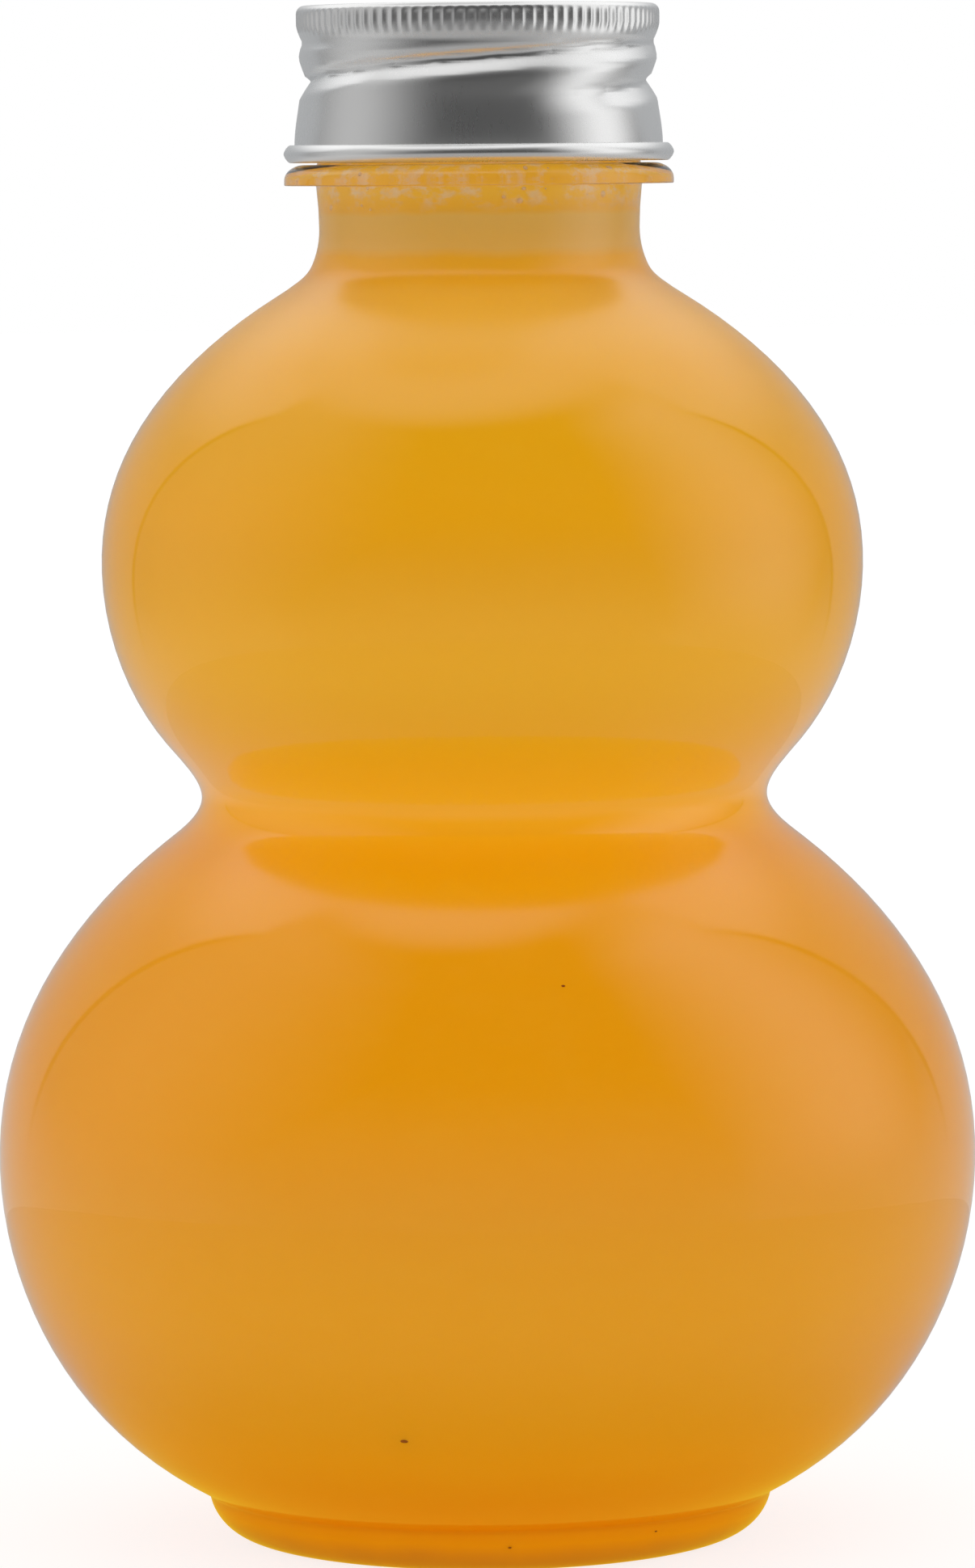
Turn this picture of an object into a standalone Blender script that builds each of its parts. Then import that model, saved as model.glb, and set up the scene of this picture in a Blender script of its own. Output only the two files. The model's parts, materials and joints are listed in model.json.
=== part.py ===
# A gourd bottle: a clear blown bottle of two bulbs on a round foot, filled with an orange drink and closed by a
# rolled aluminium screw cap with a foam liner. Metres, +Z up. The origin is on the bottle's axis, in the plane of
# the standing ring. The front faces -Y.

import math

import bmesh
import bpy

MM = 0.001

# Facets round each piece. The cap's count times its knurl cuts gives two points for each knurl.
BOTTLE_SIDES = 48
DRINK_SIDES = 36
CAP_SIDES = 45
LINER_SIDES = 45

# Foot and base
FOOT_RADIUS = 30.9 * MM
HEEL_RADIUS = 5.5 * MM
STANDING_RING_WIDTH = 2.6 * MM
PUSH_UP_HEIGHT = 5.0 * MM
GATE_RADIUS = 2.4 * MM
GATE_HEIGHT = 0.8 * MM
FOOT_BLEND = 0.6 * MM

# The two bulbs. Each is an ellipse whose height is shifted by the two skew shares, for u and for u cubed, where u
# runs from -1 at the bulb's lowest point to 1 at its highest.
LOWER_RADIUS = 53.3 * MM
LOWER_HALF_HEIGHT = 45.6 * MM
LOWER_SKEW_SHARES = (-0.048, -0.125)
UPPER_RADIUS = 41.35 * MM
UPPER_HALF_HEIGHT = 34.0 * MM
UPPER_SKEW_SHARES = (-0.066, -0.18)
WAIST_BLEND = 13.0 * MM

# Where each bulb meets what is next to it, as a share of the bulb's half height
FOOT_CREASE_SHARE = 0.857
FOOT_CREASE_HEIGHT = 4.9 * MM
WAIST_SHARE = 0.815
NECK_CREASE_SHARE = 0.815

# Finish: what the cap screws on. Its radius is the one that the neck, the bore, the ring and the cap follow.
FINISH_HEIGHT = 17.6 * MM
FINISH_RADIUS = 17.55 * MM
FINISH_WALL = 1.95 * MM
RIM_CHAMFER = 0.5 * MM
THREAD_STARTS = 2
THREAD_LEAD = 7.6 * MM
RIDGE_HEIGHT = 1.0 * MM
RIDGE_FOOT_SHARE = 0.29
RIDGE_CREST_SHARE = 0.092
RIDGE_END_DROP = 2.95 * MM
RIDGE_END_ANGLE = math.radians(-128)
RIDGE_ARC = math.radians(127)
RIDGE_FADE = math.radians(14)

# Neck and support ring
NECK_INSET = 0.15 * MM
NECK_DRAFT = 0.3 * MM
NECK_HEIGHT = 4.75 * MM
FLARE_RADIUS = 9.5 * MM
FLARE_HEIGHT = 6.2 * MM
FLARE_BLEND = 0.6 * MM
RING_WIDTH = 3.6 * MM
RING_EDGE = 0.55 * MM
RING_DOME_HEIGHT = 1.7 * MM
RING_DOME_WIDTH = 2.2 * MM

# Walls and the room between pieces. The wall grows towards the neck from a share of the upper bulb's upper half.
BODY_WALL = 0.6 * MM
NECK_WALL_START_SHARE = 0.6
BASE_WALL = 1.2 * MM
SEAT_GAP = 0.3 * MM
DRINK_GAP = 0.3 * MM
DRINK_ABOVE_RING = 0.4 * MM

# Cap liner
LINER_THICKNESS = 1.0 * MM
LINER_EDGE_GAP = 0.3 * MM
LINER_ROUND = 0.25 * MM

# Cap shell, of one sheet. Drops are measured down from the top face.
SHEET = 0.25 * MM
CAP_HEIGHT = 17.0 * MM
BAND_STEP = 0.2 * MM
SHOULDER_RADIUS = 1.2 * MM
KNURLS = 90
KNURL_CUTS = 3
KNURL_HEIGHT = 1.6 * MM
KNURL_DEPTH = 0.35 * MM
THREAD_ROOM = 0.7 * MM
SKIRT_STEP = 0.48 * MM
SKIRT_FLARE_HEIGHT = 5.4 * MM
NECKING_DROP = 4.05 * MM
NECKING_DEPTH = 0.52 * MM
NECKING_UPPER_WIDTH = 2.0 * MM
NECKING_LOWER_WIDTH = 1.8 * MM
GROOVE_ROOM = 0.77 * MM
GROOVE_UPPER_SHARE = 0.42
GROOVE_LOWER_SHARE = 1.05
GROOVE_BELOW_RIDGE_SHARE = 0.46
GROOVE_LEAD_IN = math.radians(8)
GROOVE_ARC = math.radians(262)
GROOVE_FADE = math.radians(42)
STEEP_POWER = 2
GENTLE_POWER = 1.5
CURL_HALF_WIDTH = 0.73 * MM
CURL_HALF_HEIGHT = 0.95 * MM
CURL_END_ANGLE = math.radians(108)

# Points closer than this are one point, such as those that a turned outline leaves on its axis.
WELD = 0.01 * MM
SHARP_ANGLE = math.radians(40)


def smooth_max(a, b, blend):
    """The larger of a and b, rounded with a parabola where they differ by less than blend."""
    near = max(blend - abs(a - b), 0) / blend
    return max(a, b) + blend * near * near / 4


def smooth_step(share):
    share = min(max(share, 0), 1)
    return share * share * (3 - 2 * share)


def bulb(z, centre, radius, half_height, skew_shares):
    u = min(max((z - centre) / half_height, -1), 1)
    skew = 1 + skew_shares[0] * u + skew_shares[1] * u**3
    return radius * math.sqrt(1 - u * u) * skew


# Heights that follow from the sizes above, from the foot up
LOWER_CENTRE = FOOT_CREASE_HEIGHT + FOOT_CREASE_SHARE * LOWER_HALF_HEIGHT
WAIST_HEIGHT = LOWER_CENTRE + WAIST_SHARE * LOWER_HALF_HEIGHT
UPPER_CENTRE = WAIST_HEIGHT + WAIST_SHARE * UPPER_HALF_HEIGHT
FLARE_FOOT = UPPER_CENTRE + NECK_CREASE_SHARE * UPPER_HALF_HEIGHT
FLARE_TOP = FLARE_FOOT + FLARE_HEIGHT
RING_UNDERSIDE = FLARE_TOP + NECK_HEIGHT
RING_TOP = RING_UNDERSIDE + RING_EDGE + RING_DOME_HEIGHT
RIM_HEIGHT = RING_UNDERSIDE + FINISH_HEIGHT
LINER_HEIGHT = RIM_HEIGHT + SEAT_GAP
CAP_TOP = LINER_HEIGHT + LINER_THICKNESS + SEAT_GAP + SHEET
FILL_HEIGHT = RING_TOP + DRINK_ABOVE_RING

# Radii that follow from the finish's, and the thread's section, from its pitch
BORE_RADIUS = FINISH_RADIUS - FINISH_WALL
NECK_RADIUS = FINISH_RADIUS - NECK_INSET
RING_RADIUS = FINISH_RADIUS + RING_WIDTH
LOBE_RADIUS = FINISH_RADIUS + RIDGE_HEIGHT + THREAD_ROOM + SHEET
BAND_RADIUS = LOBE_RADIUS + BAND_STEP
SKIRT_RADIUS = LOBE_RADIUS + SKIRT_STEP
GROOVE_DEPTH = RIDGE_HEIGHT + THREAD_ROOM - GROOVE_ROOM
PITCH = THREAD_LEAD / THREAD_STARTS
RIDGE_FOOT_HALF = RIDGE_FOOT_SHARE * PITCH
RIDGE_CREST_HALF = RIDGE_CREST_SHARE * PITCH
GROOVE_UPPER_WIDTH = GROOVE_UPPER_SHARE * PITCH
GROOVE_LOWER_WIDTH = GROOVE_LOWER_SHARE * PITCH
RIDGE_END_HEIGHT = RIM_HEIGHT - RIDGE_END_DROP
GROOVE_END_HEIGHT = RIDGE_END_HEIGHT - GROOVE_BELOW_RIDGE_SHARE * PITCH


def neck_radius(z):
    """The neck's drafted cylinder above the flare's top, and the flare's arc below it."""
    if z >= FLARE_TOP:
        return NECK_RADIUS + NECK_DRAFT * ((z - FLARE_TOP) / NECK_HEIGHT) ** 2
    drop = min(FLARE_TOP - z, FLARE_HEIGHT)
    return NECK_RADIUS + FLARE_RADIUS - math.sqrt(FLARE_RADIUS**2 - drop**2)


def foot_radius(z):
    """The foot's wall, with the heel's arc below it."""
    below = max(HEEL_RADIUS - z, 0)
    return FOOT_RADIUS - HEEL_RADIUS + math.sqrt(max(HEEL_RADIUS**2 - below**2, 0))


def body_radius(z):
    """The blown body's outer radius at a height, from the standing ring to the support ring."""
    lower = bulb(z, LOWER_CENTRE, LOWER_RADIUS, LOWER_HALF_HEIGHT, LOWER_SKEW_SHARES)
    upper = bulb(z, UPPER_CENTRE, UPPER_RADIUS, UPPER_HALF_HEIGHT, UPPER_SKEW_SHARES)
    radius = smooth_max(lower, upper, WAIST_BLEND)
    if z < LOWER_CENTRE:
        radius = smooth_max(radius, foot_radius(z), FOOT_BLEND)
    if z > UPPER_CENTRE:
        radius = smooth_max(radius, neck_radius(z), FLARE_BLEND)
    return radius


def base_height(radius):
    """The height of the pushed-up base at a radius inside the standing ring."""
    share = min(radius / BASE_RING_INNER, 1)
    return PUSH_UP_HEIGHT * math.sqrt(1 - share * share)


BASE_RING_OUTER = body_radius(0)
BASE_RING_INNER = FOOT_RADIUS - HEEL_RADIUS - STANDING_RING_WIDTH

# Shares of the push-up's radius, and of the heights between one crease and the next, at which outlines have points
BASE_POINT_SHARES = (0.4, 0.66, 0.85, 0.96)
HEEL_POINT_SHARES = (0.03, 0.13, 0.32, 0.6)
LOWER_POINT_SHARES = (0.03, 0.09, 0.18, 0.29, 0.41, 0.53, 0.65, 0.76, 0.85, 0.92, 0.97)
UPPER_POINT_SHARES = (0.04, 0.1, 0.18, 0.29, 0.41, 0.53, 0.65, 0.76, 0.86, 0.94)
FLARE_POINT_SHARES = (0.3, 0.6, 1.0)
DOME_POINT_ANGLES = tuple(math.radians(a) for a in (0, 25, 50, 72, 90))
FINISH_ROWS = 14

# Points round the cap's arcs, rows of points down its side, and where its thread's rows end, as a share of the skirt's flare
SHOULDER_POINTS = 3
CURL_HOLLOW_POINTS = 6
CURL_POINTS = 9
CAP_THREAD_ROWS = 12
CAP_THREAD_FOOT_SHARE = 0.8
BAND_POINT_SHARES = (0.5,)
SKIRT_POINT_SHARES = (0.33, 0.66, 1.0)
INNER_CORNER_SHARE = 0.25


def between(low, high, shares):
    return [low + share * (high - low) for share in shares]


def base_points():
    """The underside from the axis out to the standing ring, with the gate's nub in the middle."""
    nub = base_height(GATE_RADIUS) - GATE_HEIGHT
    points = [(0, nub), (GATE_RADIUS - GATE_HEIGHT / 2, nub), (GATE_RADIUS, base_height(GATE_RADIUS))]
    points += [(r, base_height(r)) for r in between(0, BASE_RING_INNER, BASE_POINT_SHARES)]
    return points + [(BASE_RING_INNER, 0)]


def body_heights():
    heights = between(0, FOOT_CREASE_HEIGHT, HEEL_POINT_SHARES) + [FOOT_CREASE_HEIGHT]
    heights += between(FOOT_CREASE_HEIGHT, WAIST_HEIGHT, LOWER_POINT_SHARES) + [WAIST_HEIGHT]
    heights += between(WAIST_HEIGHT, FLARE_FOOT, UPPER_POINT_SHARES) + [FLARE_FOOT]
    return heights + between(FLARE_FOOT, FLARE_TOP, FLARE_POINT_SHARES)


def wall_at(radius, z):
    """The blown wall: thick under the base, thin round the bulbs, and as thick as the neck from the flare up."""
    neck_wall = NECK_RADIUS - BORE_RADIUS
    upper_start = UPPER_CENTRE + NECK_WALL_START_SHARE * (FLARE_FOOT - UPPER_CENTRE)
    if z > upper_start:
        share = smooth_step((z - upper_start) / (FLARE_TOP - upper_start))
        return BODY_WALL + (neck_wall - BODY_WALL) * share
    if z < FOOT_CREASE_HEIGHT and radius < FOOT_RADIUS:
        return BASE_WALL + (BODY_WALL - BASE_WALL) * smooth_step(z / FOOT_CREASE_HEIGHT)
    return BODY_WALL


def inner_points(extra):
    """The cavity's outline from the axis at the base up to the flare's top, moved in by extra."""
    floor = PUSH_UP_HEIGHT + BASE_WALL + extra
    dome_edge = BASE_RING_INNER - BASE_WALL / 2
    points = [(0, floor)]
    for share in BASE_POINT_SHARES:
        points.append((dome_edge * share, base_height(BASE_RING_INNER * share) + BASE_WALL + extra))
    ring_middle = (BASE_RING_INNER + FOOT_RADIUS - HEEL_RADIUS) / 2
    points.append((ring_middle, BASE_WALL + extra))
    for z in body_heights()[1:]:
        slope = (body_radius(z + WELD) - body_radius(z - WELD)) / (2 * WELD)
        normal = math.hypot(1, slope)
        wall = wall_at(body_radius(z), z) + extra
        point = (body_radius(z) - wall / normal, z + wall * slope / normal)
        if point[1] > points[-1][1] + WELD:
            points.append(point)
    return points


def ridge_height(angle, z):
    """How far the bottle's thread stands out at an angle and height: a trapezoid section along each start's helix."""
    height = 0
    for start in range(THREAD_STARTS):
        end = RIDGE_END_ANGLE + start * math.tau / THREAD_STARTS
        back = (end - angle) % math.tau
        if back > RIDGE_ARC:
            continue
        off = abs(z - RIDGE_END_HEIGHT + THREAD_LEAD * back / math.tau)
        section = (RIDGE_FOOT_HALF - off) / (RIDGE_FOOT_HALF - RIDGE_CREST_HALF)
        fade = min(back, RIDGE_ARC - back) / RIDGE_FADE
        height = max(height, RIDGE_HEIGHT * min(max(section, 0), 1) * smooth_step(fade))
    return height


def groove_depth(angle, z):
    """How far the cap's rolled thread is pressed in, just below each ridge: steep above its line, gentle below it."""
    depth = 0
    for start in range(THREAD_STARTS):
        end = RIDGE_END_ANGLE + start * math.tau / THREAD_STARTS
        along = (angle - end + RIDGE_ARC + GROOVE_LEAD_IN) % math.tau
        if along > GROOVE_ARC:
            continue
        turn = (along - RIDGE_ARC - GROOVE_LEAD_IN) / math.tau
        above = z - GROOVE_END_HEIGHT - THREAD_LEAD * turn
        if above > 0:
            section = max(1 - above / GROOVE_UPPER_WIDTH, 0) ** STEEP_POWER
        else:
            section = max(1 + above / GROOVE_LOWER_WIDTH, 0) ** GENTLE_POWER
        fade = smooth_step(min(along, GROOVE_ARC - along) / GROOVE_FADE)
        depth = max(depth, GROOVE_DEPTH * section * fade)
    return depth


def cap_radius(drop, angle):
    """The cap's outer radius at a drop below its top: band, necking, thread lobes and flared skirt."""
    flare_start = CAP_HEIGHT - 2 * CURL_HALF_HEIGHT - SKIRT_FLARE_HEIGHT
    below = drop - NECKING_DROP
    if below < 0:
        step = BAND_RADIUS - LOBE_RADIUS + NECKING_DEPTH
        return BAND_RADIUS - step * max(1 + below / NECKING_UPPER_WIDTH, 0) ** GENTLE_POWER
    base = LOBE_RADIUS
    base += (SKIRT_RADIUS - LOBE_RADIUS) * smooth_step((drop - flare_start) / SKIRT_FLARE_HEIGHT)
    necking = NECKING_DEPTH * max(1 - below / NECKING_LOWER_WIDTH, 0) ** STEEP_POWER
    return base - max(necking, groove_depth(angle, CAP_TOP - drop))


def turned(name, points, sides):
    """A closed mesh made by turning an outline once about the Z axis. Both ends of the outline lie on the axis."""
    bm = bmesh.new()
    verts = [bm.verts.new((r, 0, z)) for r, z in points]
    edges = [bm.edges.new(pair) for pair in zip(verts, verts[1:])]
    bmesh.ops.spin(
        bm,
        geom=verts + edges,
        cent=(0, 0, 0),
        axis=(0, 0, 1),
        angle=math.tau,
        steps=sides,
        use_merge=True,
    )
    bmesh.ops.remove_doubles(bm, verts=bm.verts, dist=WELD)
    bmesh.ops.recalc_face_normals(bm, faces=bm.faces)
    for face in bm.faces:
        face.smooth = True
    return bpy.data.meshes.new(name), bm


def finished(name, mesh, bm, colour, roughness, metallic, transmission=0.0, height=0.0, parent=None):
    """Puts a mesh into its object, shades it and gives it its material."""
    bm.normal_update()
    for edge in bm.edges:
        edge.smooth = edge.calc_face_angle() < SHARP_ANGLE
    bm.to_mesh(mesh)
    bm.free()
    obj = bpy.data.objects.new(name, mesh)
    bpy.context.scene.collection.objects.link(obj)
    obj.location.z = height
    obj.parent = parent
    material = bpy.data.materials.new(name)
    material.use_nodes = True
    shader = material.node_tree.nodes["Principled BSDF"]
    shader.inputs["Base Color"].default_value = (*colour, 1)
    shader.inputs["Roughness"].default_value = roughness
    shader.inputs["Metallic"].default_value = metallic
    shader.inputs["Transmission Weight"].default_value = transmission
    mesh.materials.append(material)
    return obj


def clear_scene():
    for obj in list(bpy.data.objects):
        bpy.data.objects.remove(obj, do_unlink=True)


def make_bottle():
    thread_top = RIM_HEIGHT - RIM_CHAMFER
    thread_bottom = RIDGE_END_HEIGHT - THREAD_LEAD * RIDGE_ARC / math.tau - RIDGE_FOOT_HALF
    dome_centre = RING_RADIUS - RING_DOME_WIDTH
    dome_foot = RING_UNDERSIDE + RING_EDGE
    points = base_points()
    points.append((FOOT_RADIUS - HEEL_RADIUS, 0))
    points += [(body_radius(z), z) for z in body_heights()]
    points += [(neck_radius(RING_UNDERSIDE), RING_UNDERSIDE), (RING_RADIUS, RING_UNDERSIDE)]
    for angle in DOME_POINT_ANGLES:
        radius = dome_centre + RING_DOME_WIDTH * math.cos(angle)
        points.append((radius, dome_foot + RING_DOME_HEIGHT * math.sin(angle)))
    points.append((FINISH_RADIUS, RING_TOP))
    step = (RIDGE_END_HEIGHT + RIDGE_FOOT_HALF - thread_bottom) / FINISH_ROWS
    points += [(FINISH_RADIUS, thread_bottom + i * step) for i in range(FINISH_ROWS + 1)]
    points += [(FINISH_RADIUS, thread_top), (FINISH_RADIUS - RIM_CHAMFER, RIM_HEIGHT)]
    points.append((BORE_RADIUS, RIM_HEIGHT))
    points += reversed(inner_points(0))
    mesh, bm = turned("bottle", points, BOTTLE_SIDES)
    for vert in bm.verts:
        radius = math.hypot(vert.co.x, vert.co.y)
        if vert.co.z > thread_bottom - WELD and radius > FINISH_RADIUS - WELD:
            grown = radius + ridge_height(math.atan2(vert.co.y, vert.co.x), vert.co.z)
            vert.co.x *= grown / radius
            vert.co.y *= grown / radius
    return finished("bottle", mesh, bm, (0.93, 0.95, 0.95), 0.04, 0.0, transmission=1.0)


def make_drink():
    points = inner_points(DRINK_GAP)
    points.append((BORE_RADIUS - DRINK_GAP, FILL_HEIGHT))
    points.append((0, FILL_HEIGHT))
    mesh, bm = turned("drink", points, DRINK_SIDES)
    return finished("drink", mesh, bm, (0.77, 0.32, 0.01), 0.3, 0.0)


def liner_radius():
    band_inner = BAND_RADIUS - KNURL_DEPTH - SHEET
    necking_inner = cap_radius(NECKING_DROP, 0) - SHEET
    return min(band_inner, necking_inner) - LINER_EDGE_GAP


def make_liner(seat):
    radius = liner_radius()
    points = [(0, 0), (radius - LINER_ROUND, 0), (radius, LINER_ROUND)]
    points += [(radius, LINER_THICKNESS - LINER_ROUND), (radius - LINER_ROUND, LINER_THICKNESS)]
    points.append((0, LINER_THICKNESS))
    mesh, bm = turned("cap_liner", points, LINER_SIDES)
    return finished("cap_liner", mesh, bm, (0.9, 0.9, 0.88), 0.7, 0.0, parent=seat)


def ellipse_arc(centre, half_width, half_height, start, end, count):
    """Points on an ellipse in the plane of the outline, from one angle to another."""
    found = []
    for i in range(count + 1):
        angle = start + (end - start) * i / count
        found.append((centre[0] + half_width * math.cos(angle), centre[1] + half_height * math.sin(angle)))
    return found


def cap_drops():
    """Drops below the top at which the cap's side has a row of points, from the knurls down to the curl."""
    knurl_top = SHOULDER_RADIUS
    knurl_bottom = knurl_top + KNURL_HEIGHT
    upper = between(knurl_bottom, NECKING_DROP, BAND_POINT_SHARES)
    skirt_foot = CAP_HEIGHT - 2 * CURL_HALF_HEIGHT
    thread_foot = skirt_foot - CAP_THREAD_FOOT_SHARE * SKIRT_FLARE_HEIGHT
    row_shares = [i / CAP_THREAD_ROWS for i in range(CAP_THREAD_ROWS + 1)]
    thread = between(NECKING_DROP, thread_foot, row_shares)
    skirt = between(thread_foot, skirt_foot, SKIRT_POINT_SHARES)
    return [knurl_top, knurl_bottom] + upper + thread + skirt


def make_cap(seat):
    # The outline, with heights above the top face's plane, so below it they are negative: top, shoulder and side,
    # into the curl along its hollow, round the sheet's end, back along the curl's outside and up the inner side.
    drops = cap_drops()
    curl_middle = CURL_HALF_HEIGHT - CAP_HEIGHT
    curl_inside = SKIRT_RADIUS - SHEET
    curl_centre = (curl_inside + CURL_HALF_WIDTH, curl_middle)
    hollow = (CURL_HALF_WIDTH - SHEET, CURL_HALF_HEIGHT - SHEET)
    shoulder_centre = (BAND_RADIUS - SHOULDER_RADIUS, -SHOULDER_RADIUS)
    quarter = math.pi / 2
    outline = [(0, 0)]
    outline += ellipse_arc(shoulder_centre, SHOULDER_RADIUS, SHOULDER_RADIUS, quarter, 0, SHOULDER_POINTS)
    side_start = len(outline) - 1
    outline += [(cap_radius(drop, 0), -drop) for drop in drops[1:]]
    side_end = len(outline) - 1
    outline += ellipse_arc(curl_centre, *hollow, -math.pi, CURL_END_ANGLE, CURL_HOLLOW_POINTS)
    curl = (CURL_HALF_WIDTH, CURL_HALF_HEIGHT)
    outline += ellipse_arc(curl_centre, *curl, CURL_END_ANGLE, -math.pi, CURL_POINTS)
    inner_start = len(outline)
    band_inner = BAND_RADIUS - KNURL_DEPTH - SHEET
    for drop in reversed(drops[2:]):
        outline.append((cap_radius(drop, 0) - SHEET, -drop))
    inner_end = len(outline) - 1
    inner_round = SHOULDER_RADIUS - SHEET
    corner = INNER_CORNER_SHARE * inner_round
    outline += [(band_inner, -SHOULDER_RADIUS), (band_inner - corner, -SHEET - corner)]
    outline += [(band_inner - inner_round, -SHEET), (0, -SHEET)]
    mesh, bm = turned("cap_shell", outline, CAP_SIDES)

    # Each row of the side is pressed to the rolled shape at its own angle.
    side = {round(z / WELD): r for r, z in outline[side_start : side_end + 1]}
    inner = {round(z / WELD): r for r, z in outline[inner_start : inner_end + 1]}
    for vert in bm.verts:
        key = round(vert.co.z / WELD)
        radius = math.hypot(vert.co.x, vert.co.y)
        for rows, wall in ((side, 0), (inner, SHEET)):
            if key in rows and abs(radius - rows[key]) < SHEET / 2:
                angle = math.atan2(vert.co.y, vert.co.x)
                pressed = cap_radius(-vert.co.z, angle) - wall
                vert.co.x = pressed * math.cos(angle)
                vert.co.y = pressed * math.sin(angle)
                break

    # The knurled band: its two rows get more points, every second one is pressed in, and each pair is joined upright.
    knurl_rows = [round(-drop / WELD) for drop in drops[:2]]

    def on_knurl_row(vert):
        outside = math.hypot(vert.co.x, vert.co.y) > band_inner + SHEET / 2
        return outside and round(vert.co.z / WELD) in knurl_rows

    ring_edges = [
        edge
        for edge in bm.edges
        if all(on_knurl_row(v) for v in edge.verts)
        and abs(edge.verts[0].co.z - edge.verts[1].co.z) < WELD
    ]
    bmesh.ops.subdivide_edges(bm, edges=ring_edges, cuts=KNURL_CUTS)
    half_knurl = math.pi / KNURLS
    columns = {}
    for vert in bm.verts:
        if on_knurl_row(vert):
            index = round(math.atan2(vert.co.y, vert.co.x) / half_knurl) % (2 * KNURLS)
            pressed = cap_radius(-vert.co.z, 0) - KNURL_DEPTH * (index % 2)
            vert.co.x = pressed * math.cos(index * half_knurl)
            vert.co.y = pressed * math.sin(index * half_knurl)
            columns.setdefault(index, []).append(vert)
    for pair in columns.values():
        bmesh.ops.connect_vert_pair(bm, verts=pair)
    knurl_verts = {vert for pair in columns.values() for vert in pair}
    for face in bm.faces:
        face.smooth = len(knurl_verts.intersection(face.verts)) <= 2
    height = CAP_TOP - LINER_HEIGHT
    return finished("cap_shell", mesh, bm, (0.75, 0.76, 0.77), 0.28, 1.0, height=height, parent=seat)


def make_seat():
    """The cap's axis, at the liner's underside: the cap turns about it and rises along it."""
    seat = bpy.data.objects.new("cap_axis", None)
    seat.empty_display_size = LINER_THICKNESS
    seat.location.z = LINER_HEIGHT
    bpy.context.scene.collection.objects.link(seat)
    return seat


clear_scene()
make_bottle()
make_drink()
cap_seat = make_seat()
make_liner(cap_seat)
make_cap(cap_seat)
print("Bottle height to the rim: %.2f mm, to the cap's top: %.2f mm" % (RIM_HEIGHT / MM, CAP_TOP / MM))
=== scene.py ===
# Looks of the gourd bottle: clear blown plastic, orange drink with froth in its neck, satin aluminium cap.
# Shapes are worked out in millimetres and put into the meshes in metres.
import json
import math

import bpy
import numpy as np
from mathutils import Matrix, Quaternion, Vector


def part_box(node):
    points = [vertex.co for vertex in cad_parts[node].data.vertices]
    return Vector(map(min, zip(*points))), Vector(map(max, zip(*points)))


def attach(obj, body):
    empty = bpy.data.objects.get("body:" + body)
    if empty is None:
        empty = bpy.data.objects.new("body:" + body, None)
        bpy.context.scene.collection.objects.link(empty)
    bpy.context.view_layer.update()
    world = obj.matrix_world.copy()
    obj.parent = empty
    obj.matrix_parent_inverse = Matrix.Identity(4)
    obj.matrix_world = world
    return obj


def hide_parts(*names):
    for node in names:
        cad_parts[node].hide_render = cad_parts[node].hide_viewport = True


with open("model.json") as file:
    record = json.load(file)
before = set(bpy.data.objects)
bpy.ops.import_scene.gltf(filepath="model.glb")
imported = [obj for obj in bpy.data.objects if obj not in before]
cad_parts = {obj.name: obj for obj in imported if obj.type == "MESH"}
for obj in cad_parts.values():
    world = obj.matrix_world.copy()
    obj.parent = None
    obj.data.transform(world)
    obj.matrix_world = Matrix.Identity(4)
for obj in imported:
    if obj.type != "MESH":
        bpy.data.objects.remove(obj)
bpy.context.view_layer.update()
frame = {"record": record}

mm = 0.001
fullTurn = 2 * math.pi
mounts = {mount["name"]: mount for mount in frame["record"]["mounts"]}

# Heights that the pieces share, read from the frame
levels = {
    "ringUnderside": mounts["neck_ring"]["pos_m"][2] / mm,
    "rim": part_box("bottle")[1].z / mm,
    "fill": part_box("drink")[1].z / mm,
    "linerFoot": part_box("cap_liner")[0].z / mm,
    "linerTop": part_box("cap_liner")[1].z / mm,
    "capTop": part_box("cap_shell")[1].z / mm,
}
print("frame read: rim at %.2f mm, cap top at %.2f mm" % (levels["rim"], levels["capTop"]))


# Outlines are arrays of (radius, height) rows, in millimetres

def smoothStep(share):
    # 3 s^2 - 2 s^3 of the share held between 0 and 1
    share = np.clip(share, 0, 1)
    return share * share * (3 - 2 * share)


def smoothMax(a, b, blend):
    # The larger of a and b, plus a sixth of blend times the cube of how near they are
    near = np.maximum(blend - np.abs(a - b), 0) / blend
    return np.maximum(a, b) + blend * near**3 / 6


def arc(centreRadius, centreHeight, halfWidth, halfHeight, start, end, count=60, power=1.0):
    # Points of an ellipse from one angle, in degrees, to another. The cosine and sine are raised to a power
    # with their signs kept, so that a power over 1 draws the ellipse in towards a lozenge.
    angles = np.radians(np.linspace(start, end, count))
    across, up = np.cos(angles), np.sin(angles)
    across, up = np.sign(across) * np.abs(across) ** power, np.sign(up) * np.abs(up) ** power
    return np.stack([centreRadius + halfWidth * across, centreHeight + halfHeight * up], 1)


def line(*points):
    return np.array(points, float)


def evenly(outline, spacing):
    # The same outline with a point every spacing millimetres along it
    steps = np.hypot(*np.diff(outline, axis=0).T)
    outline = outline[np.concatenate([[True], steps > 1e-9])]
    along = np.concatenate([[0], np.cumsum(np.hypot(*np.diff(outline, axis=0).T))])
    places = np.linspace(0, along[-1], int(along[-1] / spacing) + 2)
    return np.stack([np.interp(places, along, column) for column in outline.T], 1)


def softened(outline, reach, spacing=0.04):
    # Corners rounded: each point becomes the bell-weighted mean of its neighbours up to reach away
    fine = evenly(outline, spacing)
    half = max(int(reach / spacing), 1)
    weights = 1 + np.cos(np.linspace(-math.pi, math.pi, 2 * half + 1))
    weights /= weights.sum()
    ends = np.concatenate([2 * fine[0] - fine[half:0:-1], fine, 2 * fine[-1] - fine[-2:-half - 2:-1]])
    return np.stack([np.convolve(column, weights, "valid") for column in ends.T], 1)


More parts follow.
